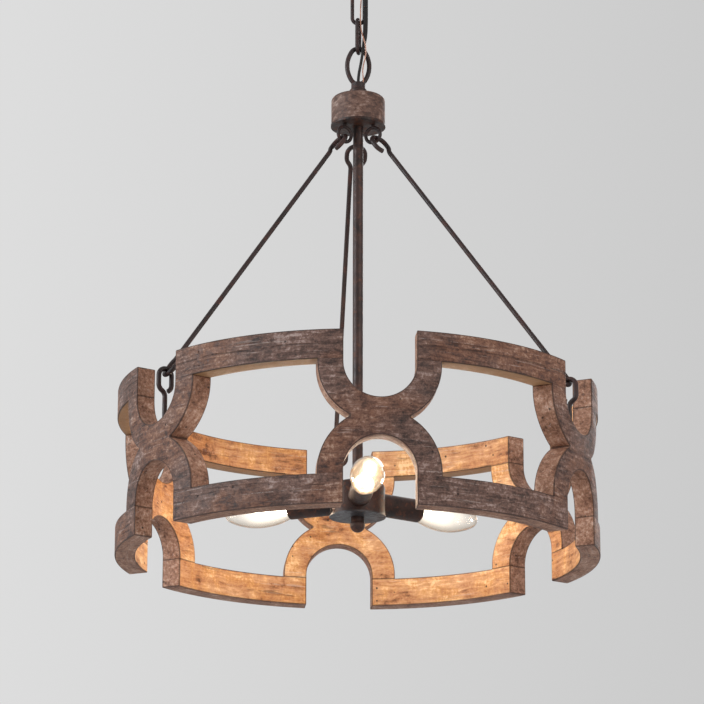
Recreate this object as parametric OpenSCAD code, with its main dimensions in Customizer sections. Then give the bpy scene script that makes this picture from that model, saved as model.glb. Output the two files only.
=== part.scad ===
// Pendant chandelier: a fretted wooden ring hung on three bent rods round a three-light stem.
// The origin is on the ceiling, above the stem. +Z is up and the front cross faces -Y.

/* [Ring] */
// Outside diameter of the wooden ring
ring_d = 500; // [440:5:600]
// Height of the wooden ring
ring_h = 175; // [165:1:200]
// Radial thickness of the wood
wood_t = 21; // [16:1:26]
// Height of the top and bottom rails
rail_h = 30; // [24:1:34]
// Radius of the notch above and the arch below each cross
notch_r = 36; // [30:1:38]
// Width of the curved arms
arm_w = 25; // [20:1:28]
// Height of the wood between a notch and its arch
waist_h = 38; // [32:1:44]
// Width of a cross at its waist
waist_w = 57; // [50:1:64]
// Depth of the flat that blunts each corner of the waist
waist_blunt = 1; // [0.5:0.5:3]

/* [Suspension] */
// Height from the ring's middle up to the cap plate's underside
ring_drop = 386; // [340:2:460]
// Diameter of the rods and of the ring hooks
rod_d = 5; // [4:0.2:5.4]
// Outside width of the loops at the rods' upper ends
upper_loop_w = 24.6; // [22.6:0.2:27]
// Outside width of the rods' lower loops and of the ring hooks' loops
lower_loop_w = 20; // [19:0.2:22]
// Length of the straight sides of an upper loop
upper_loop_side = 3; // [2:0.5:6]
// Length of the straight sides of a lower loop or a ring hook's loop
lower_loop_side = 9; // [7:0.5:12]
// Distance between a rod's line and the line through its loops
loop_offset = 5; // [3:0.5:6.5]
// Turn that closes a loop's cut end
loop_close = 62; // [50:1:66]
// Height of the ring hooks' loops above the notch, to the outside of the bend
hook_rise = 62; // [58:1:68]
// Distance of the ring hooks from the ring's inner face
hook_inset = 7.5; // [6:0.5:9]
// Depth of the ring hooks in the wood
hook_sunk = 15; // [10:1:20]

/* [Cap eyes] */
// Outside diameter of an eye
eye_d = 20.5; // [19.5:0.5:22]
// Diameter of the eyes' wire
eye_wire = 3.8; // [3.2:0.1:4.2]
// Distance of the eyes from the stem's axis
eye_pos = 17.5; // [16.5:0.5:19]
// Gap between the plate and an eye
eye_neck = 1.2; // [0.8:0.2:2]
// Depth of an eye's shank in the wood
eye_sunk = 12; // [8:1:16]

/* [Cap] */
// Diameter of the turned wood cap
cap_d = 57.5; // [56:0.5:64]
// Height of the wood cap
cap_h = 31; // [26:1:36]
// Radius of the cap's upper edge
cap_round = 5; // [3:0.5:8]
// Diameter of the plate under the cap
plate_d = 58.5; // [56:0.5:66]
// Thickness of the plate
plate_t = 2.5; // [1.5:0.5:3]

/* [Stem and hub] */
// Diameter of the stem tube
stem_d = 11; // [9:0.5:12]
// Wall of the stem tube
stem_wall = 1; // [0.8:0.1:1.5]
// Width of the hex nuts across the flats
nut_w = 16; // [15:0.5:18]
// Thickness of the hex nuts
nut_t = 4; // [3:0.5:5]
// Diameter of the hub cup
hub_d = 57; // [54:1:64]
// Height of the hub cup
hub_h = 34; // [32:1:40]
// Wall of the hub cup
hub_wall = 1.5; // [1:0.1:2]
// Radius of the hub's shoulder
hub_round = 5; // [3:0.5:6]
// Depth of the hub's open end below the ring's middle
hub_low = 41; // [30:1:60]
// Diameter of the hub's bottom cover
cover_d = 58.6; // [56:0.2:68]
// Thickness of the cover
cover_t = 1.5; // [1:0.1:3]
// Diameter of the finial's neck
finial_neck_d = 13.6; // [13:0.2:16]
// Height of the finial's neck
finial_neck_h = 4.5; // [3.5:0.5:8]
// Diameter of the finial's ball
finial_ball_d = 15.5; // [14.5:0.5:20]

/* [Lights] */
// Height of the sockets' axis above the hub's open end
light_up = 16; // [15:0.5:17]
// Outside diameter of a socket cover
socket_d = 24; // [23.5:0.5:26]
// Wall of a socket cover
socket_wall = 1; // [0.8:0.1:1.2]
// Distance of a socket's mouth from the stem's axis
socket_reach = 77; // [72:1:90]
// Depth of a lampholder's front below the socket's mouth
holder_inset = 5.5; // [5:0.5:8]
// Diameter of the nipple behind a lampholder
nipple_d = 8; // [7:0.5:9]
// Diameter of a bulb's screw cap
bulb_cap_d = 11.9; // [11.6:0.1:12.2]
// Length of a bulb's screw cap
bulb_cap_l = 15; // [13:0.5:17]
// Diameter of the bulb's glass
bulb_d = 35; // [32:0.5:38]
// Length of the bulb's glass
bulb_glass_l = 85; // [80:1:92]
// Distance from the start of the glass to its widest place
bulb_belly = 40; // [36:1:44]
// Radius of the glass at its neck
bulb_neck_r = 9.2; // [8.5:0.1:9.6]
// Radius of the glass at its tip
bulb_tip_r = 10; // [8:0.5:12]
// Wall of the glass
glass_wall = 0.9; // [0.7:0.1:1.2]

/* [Chain] */
// Diameter of a link's wire
link_wire = 4; // [3.2:0.1:4.2]
// Outside length of a link
link_len = 42; // [39:0.5:44]
// Outside width of a link
link_w = 17; // [16.5:0.5:18]
// Gap where a link's wire ends meet
link_butt = 0.4; // [0.2:0.1:0.8]
// Turn of the lowest link about the chain's line
link_turn = -17; // [-20:1:0]

/* [Screw loops] */
// Diameter of the round nut that a screw loop stands on
collar_d = 19; // [18:0.5:24]
// Height of the round nut
collar_h = 10; // [9:0.5:12]
// Diameter of the loop's boss
boss_d = 15; // [14.5:0.5:17]
// Height of the loop's boss
boss_h = 7; // [6:0.5:9]
// Diameter of the loop's wire
loop_wire = 5; // [4.2:0.1:5.2]
// Outside width of the loop
loop_w = 28.7; // [27:0.1:31]
// Height from the nut's seat to the outside of the loop's end
loop_rise = 59; // [58:0.5:62]
// Radius of the loop's ends, at the middle of the wire
loop_end_r = 8.5; // [8:0.5:10]

/* [Canopy] */
// Diameter of the canopy
canopy_d = 124; // [118:1:140]
// Height of the canopy
canopy_h = 27; // [22:1:32]
// Wall of the canopy
canopy_wall = 1.2; // [1:0.1:2]
// Radius of the canopy's lower edge
canopy_round = 12; // [8:1:16]
// Length of the mounting strap
strap_l = 104; // [100:1:110]
// Width of the mounting strap
strap_w = 22; // [18:1:26]
// Thickness of the mounting strap
strap_t = 2; // [1.5:0.5:3]
// Distance between the middles of the strap's slots
slot_spacing = 80; // [76:1:84]
// Width of a slot
slot_w = 4.6; // [4.4:0.1:5.2]
// Length of a slot from end to end
slot_l = 15; // [12:0.5:16]

/* [Leads] */
// Width of the flat power cord
cord_w = 5.2; // [4.6:0.1:5.2]
// Thickness of the power cord
cord_t = 3; // [2.4:0.1:3]
// Diameter of the ground wire
ground_d = 1.4; // [1:0.1:1.6]

/* [Hidden] */

$fn = 48;
// facets round the ring and the canopy
ring_fn = 180;
// facets round a wire
wire_fn = 24;

// clearances: touching wires, screwed fits, loose bores, and pieces that slip into each other
wire_gap = 0.3;
thread_gap = 0.05;
bore_gap = 0.2;
slip_gap = 0.3;
// how far a cutting shape runs past what it cuts
past = 1;
// sleeve that joins the runs and bends of a wire: its length, and how much thicker it is than the wire
sleeve_l = 0.4;
sleeve_t = 0.02;

wood_tone = [0.47, 0.35, 0.29];
rust_tone = [0.17, 0.13, 0.12];
iron_tone = [0.25, 0.24, 0.25];
zinc_tone = [0.62, 0.62, 0.60];
holder_tone = [0.88, 0.86, 0.80];
cap_tone = [0.70, 0.66, 0.58];
glass_tone = [1.0, 0.93, 0.78, 0.4];
glow_tone = [1.0, 0.80, 0.45];
copper_tone = [0.72, 0.50, 0.42];

// ring
ring_r = ring_d / 2;
ring_in = ring_r - wood_t;
seam_z = ring_h / 2 - rail_h;
cross_count = 6;
cross_step = 360 / cross_count;
arm_r = notch_r + arm_w;
notch_z = waist_h / 2 + notch_r;
arm_z = sqrt(arm_r * arm_r - waist_w * waist_w / 4);

// heights, worked down from the ceiling
loop_mid_rise = loop_rise - loop_wire / 2;
link_run = link_len - link_wire;
link_pitch = link_run - link_wire - wire_gap;
loop_to_link = (loop_wire + link_wire) / 2 + wire_gap;
canopy_loop_z = -canopy_h - loop_mid_rise;
top_link_z = canopy_loop_z + loop_to_link - link_run / 2;
low_link_z = top_link_z - 2 * link_pitch;
hang_loop_z = low_link_z - link_run / 2 + loop_to_link;
cap_top = hang_loop_z - loop_mid_rise;
cap_low = cap_top - cap_h;
plate_low = cap_low - plate_t;
ring_z = plate_low - ring_drop;
hub_rim = ring_z - hub_low;
hub_top = hub_rim + hub_h;
light_z = hub_rim + light_up;

// screw loop: an oval of four arcs, its lower end sunk in the boss
loop_sink = 3.5;
oval_half_w = (loop_w - loop_wire) / 2;
oval_low = collar_h + boss_h - loop_sink + loop_wire / 2;
oval_half_h = (loop_mid_rise - oval_low) / 2;
oval_end_z = oval_half_h - loop_end_r;
oval_side_r = (pow(oval_end_z, 2) + pow(oval_half_w, 2) - pow(loop_end_r, 2))
    / (2 * (oval_half_w - loop_end_r));
oval_turn = round(1000 * atan(oval_end_z / (oval_side_r - oval_half_w))) / 1000;
boss_round = 1.5;
collar_round = 2.5;
lead_hole_r = 3.2;
lead_hole_h = 4;
stem_in_collar = 8;

// suspension, in the plane of a rod: distance from the axis, height
eye_r = (eye_d - eye_wire) / 2;
eye_z = plate_low - eye_neck - eye_d / 2;
upper_r = (upper_loop_w - rod_d) / 2;
lower_r = (lower_loop_w - rod_d) / 2;
hook_pos = ring_in + hook_inset;
hook_base = ring_z + waist_h / 2;
hook_mid = hook_base + hook_rise - lower_loop_w / 2;
rod_tilt = atan((hook_pos - eye_pos) / (eye_z - hook_mid));
span = sqrt(pow(hook_pos - eye_pos, 2) + pow(eye_z - hook_mid, 2));
eye_to_rod = (eye_wire + rod_d) / 2 + wire_gap;
hook_to_rod = rod_d + wire_gap;
rod_low = lower_r - hook_to_rod;
rod_run = span - rod_low - (eye_r - eye_to_rod);
// azimuth of each rod from the front, and the turn of its loops about the rod
rod_azimuths = [60, 180, 300];
rod_turns = [160, 180, 0];

// hub and lights
light_count = 3;
light_step = 360 / light_count;
hub_r = hub_d / 2;
nipple_nut_w = 13;
nipple_in = 5;
nut_seat = sqrt(pow(hub_r - hub_wall, 2) - pow(nipple_nut_w / 2 / cos(30), 2)) - thread_gap;
cover_web = 1.5;
holder_back = hub_r + 1 + cover_web;
holder_front = socket_reach - holder_inset;
holder_r = socket_d / 2 - socket_wall - slip_gap;
glass_start = holder_front + 0.5;
bulb_cap_start = glass_start - bulb_cap_l;
holder_well = bulb_cap_start - 2;
finial_sink = 4;

// glass outline, along the bulb from the start of the glass
neck_run = 2;
tip_z = bulb_glass_l - bulb_tip_r;
tip_run = tip_z - bulb_belly;
belly_r = bulb_d / 2;
side_r = (tip_run * tip_run + belly_r * belly_r - bulb_tip_r * bulb_tip_r) / (2 * (belly_r - bulb_tip_r));
side_turn = atan(tip_run / (side_r - belly_r));
back_run = bulb_belly - neck_run;
back_drop = belly_r - bulb_neck_r;
back_r = (back_run * back_run + back_drop * back_drop) / (2 * back_drop);
back_turn = asin(back_run / back_r);
arc_steps = 12;

// power cord, from the hole in the hang loop's boss up to the hole in the canopy loop's boss
low_hole = cap_top + collar_h + boss_h;
high_hole = -canopy_h - collar_h - boss_h;
cord_route = [
    [0, 0, low_hole - lead_hole_h], [0, 0, -218], [0.2, -0.8, -212.5], [0.8, -2, -207], [1.8, -3.2, -201.5],
    [2.8, -4.2, -195.5], [3.7, -4.9, -189.5], [4.6, -5.2, -182.5], [5.6, -5, -175.5], [6.6, -4.5, -168.5],
    [7.2, -4.1, -160.5], [7.4, -3.9, -151.5], [7.5, -3.9, -141.5], [7.5, -3.9, -131.5], [7.5, -3.9, -121.5],
    [7.4, -3.9, -112.5], [7.2, -4.1, -103.5], [6.6, -4.5, -95.5], [5.6, -5, -88.5], [4.6, -5.2, -81.5],
    [3.7, -4.9, -74.5], [2.8, -4.2, -68.5], [1.8, -3.2, -62.5], [0.8, -2, -56.5], [0.2, -0.8, -50.5],
    [0, 0, -44.5], [0, 0, high_hole + lead_hole_h]
];
// turn of the flat section about the cord's line at each point
cord_turns = [
    90, 90, 90, 90, 90, 90, 88, 80, 60, 35, 12, 0, 0, 0, 0, 0, 12, 35, 60, 80, 88, 90, 90, 90, 90, 90, 90
];
// ground wire, from boss face to boss face
ground_route = [
    [5, -3.6, low_hole], [5, -3.6, -214], [4.4, -4.6, -208], [4.8, -5.6, -202], [5.8, -6.8, -196.5],
    [7, -8.2, -190.5], [7.4, -9.2, -184.5], [6.8, -9.6, -178.5], [5.4, -9.2, -172.5], [3.9, -8, -166.5],
    [2.6, -6.4, -159.5], [2, -5, -151.5], [1.9, -4.6, -142.5], [2.1, -4.5, -133.5], [2.6, -4.5, -124.5],
    [3.2, -5, -115.5], [3.2, -5.9, -107.5], [3.5, -7.3, -99.5], [4.4, -8.6, -92.5], [5.6, -9.2, -85.5],
    [6.8, -9, -78.5], [6.8, -7.8, -71.5], [5.8, -6, -64.5], [5, -4.6, -57.5], [5, -3.6, -49.5],
    [5, -3.6, high_hole]
];

// Bent wire

// one bend from the origin: it starts along +Z and turns towards +X, or towards -X below zero
module bend(r, wire_r, angle) {
    side = angle < 0 ? -1 : 1;
    trim = asin(sleeve_l / 4 / r);
    translate([side * r, 0, 0])
        mirror([side > 0 ? 1 : 0, 0, 0])
            rotate([90, 0, 0])
                rotate([0, 0, trim])
                    rotate_extrude(angle = abs(angle) - 2 * trim)
                        translate([r, 0]) circle(r = wire_r, $fn = wire_fn);
}

// sleeve round the wire, which joins what meets in it
module sleeve(wire_r) {
    translate([0, 0, -sleeve_l / 2]) cylinder(h = sleeve_l, r = wire_r + sleeve_t, $fn = wire_fn);
}

// wire made as a bender makes it: each step is [straight run, bend radius, angle]
module wire(steps, wire_r, i = 0) {
    if (i < len(steps)) {
        run = steps[i][0];
        r = steps[i][1];
        angle = steps[i][2];
        side = angle < 0 ? -1 : 1;
        low = i > 0 ? sleeve_l / 4 : 0;
        high = angle == 0 ? run : run - sleeve_l / 4;
        if (run > 0) translate([0, 0, low]) cylinder(h = high - low, r = wire_r, $fn = wire_fn);
        if (angle != 0)
            translate([0, 0, run]) {
                bend(r, wire_r, angle);
                if (run > 0) sleeve(wire_r);
                translate([side * r, 0, 0])
                    rotate([0, angle, 0])
                        translate([-side * r, 0, 0]) {
                            if (i < len(steps) - 1) sleeve(wire_r);
                            wire(steps, wire_r, i + 1);
                        }
            }
    }
}

// open eye at the end of a straight: a jog aside, the loop, and a cut end turned in;
// the jog is a whole number of degrees, with a short straight between its two bends
function jog_turn(r, offset) = floor(acos((r + offset) / (2 * r))) - 3;
function jog_run(r, offset) = (r - offset - 2 * r * (1 - cos(jog_turn(r, offset)))) / sin(jog_turn(r, offset));
function eye_height(r, side, offset) = 2 * r * sin(jog_turn(r, offset))
    + jog_run(r, offset) * cos(jog_turn(r, offset)) + side + r;
function eye_steps(run, r, side, offset) = [
    [run, r, -jog_turn(r, offset)],
    [jog_run(r, offset), r, jog_turn(r, offset)],
    [side, r, 180],
    [side, r, loop_close]
];

// Shared forms

module at_azimuth(angle) rotate([0, 0, angle]) children();

// +Z of the children points outward from the stem, at the height of the lights
module at_light(i) at_azimuth((i - 1) * light_step) translate([0, 0, light_z]) rotate([90, 0, 0]) children();

module ring_section() {
    difference() {
        circle(r = ring_r, $fn = ring_fn);
        circle(r = ring_in, $fn = ring_fn);
    }
}

// half section of a cup that stands open end down, with a rounded shoulder
module cup_section(r, h, round) {
    square([r - round, h]);
    square([r, h - round]);
    translate([r - round, h - round]) circle(r = round);
}

module cup(r, h, round, wall) {
    rotate_extrude($fn = ring_fn)
        intersection() {
            square([r, h]);
            difference() {
                cup_section(r, h, round);
                cup_section(r - wall, h - wall, round - wall);
            }
        }
}

// round boss with its upper edge rounded
module boss(r, h, round) {
    rotate_extrude()
        intersection() {
            square([r, h]);
            cup_section(r, h, round);
        }
}

module hex_nut(width, thick, hole_r) {
    difference() {
        cylinder(h = thick, r = width / 2 / cos(30), $fn = 6);
        translate([0, 0, -past]) cylinder(h = thick + 2 * past, r = hole_r);
    }
}

// Screw loops, the same at the cap and at the canopy

module loop_collar() {
    difference() {
        boss(collar_d / 2, collar_h, collar_round);
        translate([0, 0, -past]) cylinder(h = stem_in_collar + past, r = stem_d / 2 + thread_gap);
    }
}

module screw_loop() {
    end_turn = 180 - 2 * oval_turn;
    difference() {
        union() {
            translate([0, 0, collar_h]) boss(boss_d / 2, boss_h, boss_round);
            translate([0, 0, oval_low])
                rotate([0, -90, 0])
                    wire([
                        [0, loop_end_r, end_turn / 2],
                        [0, oval_side_r, 2 * oval_turn],
                        [0, loop_end_r, end_turn],
                        [0, oval_side_r, 2 * oval_turn],
                        [0, loop_end_r, end_turn / 2]
                    ], loop_wire / 2);
        }
        translate([0, 0, collar_h + boss_h - lead_hole_h]) cylinder(h = 2 * lead_hole_h, r = lead_hole_r);
    }
}

// Canopy

module mounting_strap() {
    color(zinc_tone)
        translate([0, 0, -strap_t])
            linear_extrude(strap_t)
                difference() {
                    square([strap_l, strap_w], center = true);
                    circle(r = stem_d / 2 + thread_gap);
                    for (side = [-1, 1]) {
                        translate([side * slot_spacing / 2, 0]) {
                            square([slot_l - slot_w, slot_w], center = true);
                            for (end = [-1, 1])
                                translate([end * (slot_l - slot_w) / 2, 0]) circle(d = slot_w);
                        }
                    }
                }
}

module canopy_nipple() {
    color(zinc_tone)
        translate([0, 0, -canopy_h - stem_in_collar])
            difference() {
                cylinder(h = canopy_h + stem_in_collar, d = stem_d);
                translate([0, 0, -past])
                    cylinder(h = canopy_h + stem_in_collar + 2 * past, r = stem_d / 2 - stem_wall);
            }
}

module strap_nut() {
    color(zinc_tone) translate([0, 0, -strap_t - nut_t]) hex_nut(nut_w, nut_t, stem_d / 2 + thread_gap);
}

module canopy_shell() {
    color(rust_tone)
        difference() {
            mirror([0, 0, 1]) cup(canopy_d / 2, canopy_h, canopy_round, canopy_wall);
            translate([0, 0, -canopy_h - past])
                cylinder(h = canopy_wall + 2 * past, r = stem_d / 2 + bore_gap);
        }
}

module canopy_collar() {
    color(rust_tone) translate([0, 0, -canopy_h]) mirror([0, 0, 1]) loop_collar();
}

module canopy_loop() {
    color(rust_tone) translate([0, 0, -canopy_h]) mirror([0, 0, 1]) screw_loop();
}

// Chain: each link lies across its neighbours

module chain_link(i) {
    link_r = (link_w - link_wire) / 2;
    side = link_run - 2 * link_r;
    half_side = (side - link_butt) / 2;
    turn = i == 3 ? link_turn : 0;
    color(rust_tone)
        translate([0, 0, top_link_z - (i - 1) * link_pitch])
            rotate([0, 0, (i % 2 == 1 ? 90 : 0) + turn])
                translate([-link_r, 0, link_butt / 2])
                    wire([[half_side, link_r, 180], [side, link_r, 180], [half_side, 0, 0]], link_wire / 2);
}

// Cap

module hang_loop() {
    color(rust_tone) translate([0, 0, cap_top]) screw_loop();
}

module cap_collar() {
    color(rust_tone) translate([0, 0, cap_top]) loop_collar();
}

// the three eye shanks, as solids or as the holes for them
module eye_shanks(r, low, high) {
    for (angle = rod_azimuths)
        at_azimuth(angle) translate([0, -eye_pos, low]) cylinder(h = high - low, r = r);
}

module wood_cap() {
    color(wood_tone)
        difference() {
            translate([0, 0, cap_low]) boss(cap_d / 2, cap_h, cap_round);
            translate([0, 0, cap_low - past]) cylinder(h = cap_h + 2 * past, r = stem_d / 2 + bore_gap);
            translate([0, 0, cap_low - past]) cylinder(h = nut_t + past, r = nut_w / 2 / cos(30) + bore_gap);
            eye_shanks(eye_wire / 2 + bore_gap / 2, cap_low - past, cap_low + eye_sunk);
        }
}

module cap_plate() {
    color(iron_tone)
        difference() {
            translate([0, 0, plate_low]) cylinder(h = plate_t, d = plate_d, $fn = ring_fn);
            translate([0, 0, plate_low - past]) cylinder(h = plate_t + 2 * past, r = stem_d / 2 + bore_gap);
            eye_shanks(eye_wire / 2 + bore_gap / 2, plate_low - past, cap_low + past);
        }
}

module cap_eyes() {
    color(rust_tone)
        for (angle = rod_azimuths)
            at_azimuth(angle)
                translate([0, -eye_pos, eye_z]) {
                    rotate([0, 90, 0])
                        rotate_extrude() translate([eye_r, 0]) circle(d = eye_wire, $fn = wire_fn);
                    translate([0, 0, eye_r])
                        cylinder(h = cap_low + eye_sunk - eye_z - eye_r, d = eye_wire, $fn = wire_fn);
                }
}

module cap_nut() {
    color(zinc_tone) translate([0, 0, cap_low]) hex_nut(nut_w, nut_t, stem_d / 2 + thread_gap);
}

// Stem and hub

module stem_tube() {
    low = hub_rim - cover_t - finial_sink;
    high = cap_top + stem_in_collar;
    color(rust_tone)
        translate([0, 0, low])
            difference() {
                cylinder(h = high - low, d = stem_d);
                translate([0, 0, -past]) cylinder(h = high - low + 2 * past, r = stem_d / 2 - stem_wall);
            }
}

module hub_cup() {
    color(rust_tone)
        difference() {
            translate([0, 0, hub_rim]) cup(hub_r, hub_h, hub_round, hub_wall);
            translate([0, 0, hub_top - hub_wall - past])
                cylinder(h = hub_wall + 2 * past, r = stem_d / 2 + bore_gap);
            for (i = [1 : light_count])
                at_light(i) cylinder(h = hub_r + past, r = nipple_d / 2 + bore_gap);
        }
}

module hub_nut() {
    color(zinc_tone)
        translate([0, 0, hub_top - hub_wall - nut_t]) hex_nut(nut_w, nut_t, stem_d / 2 + thread_gap);
}

module hub_cover() {
    color(iron_tone)
        translate([0, 0, hub_rim - cover_t])
            difference() {
                cylinder(h = cover_t, d = cover_d, $fn = ring_fn);
                translate([0, 0, -past]) cylinder(h = cover_t + 2 * past, r = stem_d / 2 + bore_gap);
            }
}

module finial() {
    neck_low = hub_rim - cover_t - finial_neck_h;
    ball_r = finial_ball_d / 2;
    ball_z = neck_low - sqrt(ball_r * ball_r - pow(finial_neck_d / 2, 2));
    color(rust_tone)
        difference() {
            union() {
                translate([0, 0, ball_z]) cylinder(h = hub_rim - cover_t - ball_z, d = finial_neck_d);
                translate([0, 0, ball_z]) sphere(r = ball_r);
            }
            translate([0, 0, hub_rim - cover_t - finial_sink])
                cylinder(h = finial_sink + past, r = stem_d / 2 + thread_gap);
        }
}

module socket_nuts() {
    color(zinc_tone)
        for (i = [1 : light_count])
            at_light(i)
                translate([0, 0, nut_seat - nut_t]) hex_nut(nipple_nut_w, nut_t, nipple_d / 2 + thread_gap);
}

// Lights

module socket_cover(i) {
    web_low = holder_back - cover_web;
    color(rust_tone)
        difference() {
            at_light(i)
                difference() {
                    cylinder(h = socket_reach, d = socket_d);
                    translate([0, 0, -past])
                        cylinder(h = web_low + past, r = socket_d / 2 - socket_wall);
                    translate([0, 0, holder_back])
                        cylinder(h = socket_reach, r = socket_d / 2 - socket_wall);
                    cylinder(h = socket_reach, r = nipple_d / 2 + bore_gap);
                }
            translate([0, 0, hub_rim - hub_h]) cylinder(h = 3 * hub_h, r = hub_r + thread_gap, $fn = ring_fn);
        }
}

module lampholder(i) {
    nipple_low = nut_seat - nut_t - nipple_in / 2;
    color(holder_tone)
        at_light(i)
            difference() {
                union() {
                    translate([0, 0, nipple_low]) cylinder(h = holder_back - nipple_low + past, d = nipple_d);
                    translate([0, 0, holder_back]) cylinder(h = holder_front - holder_back, r = holder_r);
                }
                translate([0, 0, holder_well])
                    cylinder(h = bulb_cap_l + 3 * past, r = bulb_cap_d / 2 + slip_gap);
            }
}

module bulb_cap(i) {
    tip_r = 2.4;
    tip_h = 2;
    crown_h = 2.5;
    color(cap_tone)
        at_light(i)
            union() {
                translate([0, 0, bulb_cap_start + crown_h])
                    cylinder(h = bulb_cap_l - crown_h, d = bulb_cap_d);
                translate([0, 0, bulb_cap_start]) cylinder(h = crown_h, d1 = bulb_cap_d / 2, d2 = bulb_cap_d);
                translate([0, 0, bulb_cap_start - tip_h + slip_gap]) cylinder(h = tip_h, r = tip_r);
            }
}

function arc_point(x, z, r, angle) = [x + r * cos(angle), z + r * sin(angle)];

// outline of the glass, drawn inward by the given wall
function glass_outline(wall) = concat(
    [[0, wall], [bulb_cap_d / 2 - wall, wall], [bulb_neck_r - wall, neck_run]],
    [for (s = [1 : arc_steps])
        arc_point(belly_r - back_r, bulb_belly, back_r - wall, -back_turn * (1 - s / arc_steps))],
    [for (s = [1 : arc_steps])
        arc_point(belly_r - side_r, bulb_belly, side_r - wall, side_turn * s / arc_steps)],
    [for (s = [1 : arc_steps])
        arc_point(0, tip_z, bulb_tip_r - wall, side_turn + (90 - side_turn) * s / arc_steps)]
);

module bulb_glass(i) {
    color(glass_tone)
        at_light(i)
            translate([0, 0, glass_start])
                rotate_extrude()
                    difference() {
                        polygon(glass_outline(0));
                        polygon(glass_outline(glass_wall));
                    }
}

// glass mount with two leads and the filament arched between them
module bulb_filament(i) {
    mount_r = 3;
    mount_h = 20;
    lead_r = 0.45;
    lead_h = 24;
    arch_r = 6;
    color(glow_tone)
        at_light(i)
            translate([0, 0, glass_start + glass_wall])
                union() {
                    cylinder(h = mount_h, r = mount_r);
                    for (side = [-1, 1])
                        translate([side * (mount_r - 1), 0, mount_h - past])
                            rotate([0, side * asin((arch_r - mount_r + 1) / lead_h), 0])
                                cylinder(h = lead_h, r = lead_r, $fn = wire_fn);
                    translate([0, 0, mount_h - past + lead_h * cos(asin((arch_r - mount_r + 1) / lead_h))])
                        rotate([90, 0, 0])
                            rotate_extrude(angle = 180)
                                translate([arch_r, 0]) circle(r = lead_r * 1.6, $fn = wire_fn);
                }
}

// Rods and hooks

module rod(i) {
    rise = eye_height(upper_r, upper_loop_side, loop_offset);
    fall = eye_height(lower_r, lower_loop_side, loop_offset);
    color(rust_tone)
        at_azimuth(rod_azimuths[i])
            translate([0, -hook_pos, hook_mid])
                rotate([-rod_tilt, 0, 0])
                    rotate([0, 0, rod_turns[i]])
                        translate([-loop_offset, 0, rod_low + fall]) {
                            wire(
                                eye_steps(rod_run - rise - fall, upper_r, upper_loop_side, loop_offset),
                                rod_d / 2
                            );
                            sleeve(rod_d / 2);
                            mirror([0, 0, 1])
                                wire(eye_steps(0, lower_r, lower_loop_side, loop_offset), rod_d / 2);
                        }
}

// a shank in the bottom of the notch, with its open eye in the plane of the rod
module ring_hooks() {
    run = hook_mid + lower_r - hook_base + hook_sunk - eye_height(lower_r, lower_loop_side, 0);
    color(rust_tone)
        for (angle = rod_azimuths)
            at_azimuth(angle)
                translate([0, -hook_pos, hook_base - hook_sunk])
                    rotate([0, 0, 90])
                        wire(eye_steps(run, lower_r, lower_loop_side, 0), rod_d / 2);
}

// Ring

// face of a cross seen from outside: two arcs back to back, with the notch and the arch cut out
module cross_outline() {
    wall = max(seam_z - arm_z, 0) + past;
    difference() {
        union() {
            for (side = [-1, 1]) {
                translate([0, side * arm_z]) circle(r = arm_r, $fn = ring_fn);
                translate([0, side * (arm_z + wall / 2)]) square([2 * arm_r, wall], center = true);
            }
            square([waist_w + 2 * waist_blunt, waist_h / 2], center = true);
        }
        for (side = [-1, 1]) {
            translate([0, side * notch_z]) circle(r = notch_r, $fn = ring_fn);
            translate([0, side * (notch_z + seam_z)]) square([2 * notch_r, 2 * seam_z], center = true);
        }
    }
}

module cross(i) {
    inner_y = sqrt(ring_in * ring_in - arm_r * arm_r) - past;
    color(wood_tone)
        at_azimuth((i - 1) * cross_step)
            difference() {
                intersection() {
                    translate([0, 0, ring_z - seam_z]) linear_extrude(2 * seam_z) ring_section();
                    translate([0, -inner_y, ring_z])
                        rotate([90, 0, 0]) linear_extrude(ring_r - inner_y + past) cross_outline();
                }
                if (i % 2 == 0)
                    translate([0, -hook_pos, hook_base - hook_sunk])
                        cylinder(h = hook_sunk + past, r = rod_d / 2 + bore_gap / 2);
            }
}

// a rail runs from the notch of one cross to the notch of the next
module rail(i, low) {
    far = 2 * ring_r;
    corner = [notch_r, -notch_r * (1 + cos(cross_step)) / sin(cross_step)];
    color(wood_tone)
        at_azimuth((i - 1) * cross_step)
            translate([0, 0, low])
                linear_extrude(rail_h)
                    intersection() {
                        ring_section();
                        polygon([
                            corner,
                            corner + [0, -far],
                            corner + [far, -far],
                            corner + far * [sin(cross_step), -cos(cross_step)]
                        ]);
                    }
}

module top_rail(i) rail(i, ring_z + seam_z);
module bottom_rail(i) rail(i, ring_z - ring_h / 2);

// Leads

function unit(v) = v / norm(v);
function along(route, i) = unit(route[min(i + 1, len(route) - 1)] - route[max(i - 1, 0)]);
function across(direction, turn) = unit(cross([-sin(turn), cos(turn), 0], direction));

lead_sides = 8;

// tube swept along a route, with an oval section that turns as it goes
module lead(route, turns, wide, thick) {
    count = len(route);
    points = [
        for (i = [0 : count - 1])
            let (direction = along(route, i))
            let (a = across(direction, turns[i]))
            let (b = cross(direction, a))
            for (s = [0 : lead_sides - 1])
                let (angle = 360 * (s + 0.5) / lead_sides)
                route[i] + a * cos(angle) * wide / 2 + b * sin(angle) * thick / 2
    ];
    faces = concat(
        [[for (s = [0 : lead_sides - 1]) lead_sides - 1 - s]],
        [for (i = [0 : count - 2])
            for (s = [0 : lead_sides - 1])
                let (here = i * lead_sides + s)
                let (beside = i * lead_sides + (s + 1) % lead_sides)
                for (half = [[here, beside, beside + lead_sides], [here, beside + lead_sides, here + lead_sides]])
                    half],
        [[for (s = [0 : lead_sides - 1]) (count - 1) * lead_sides + s]]
    );
    polyhedron(points = points, faces = faces);
}

module power_cord() {
    color("black") lead(cord_route, cord_turns, cord_w, cord_t);
}

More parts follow.
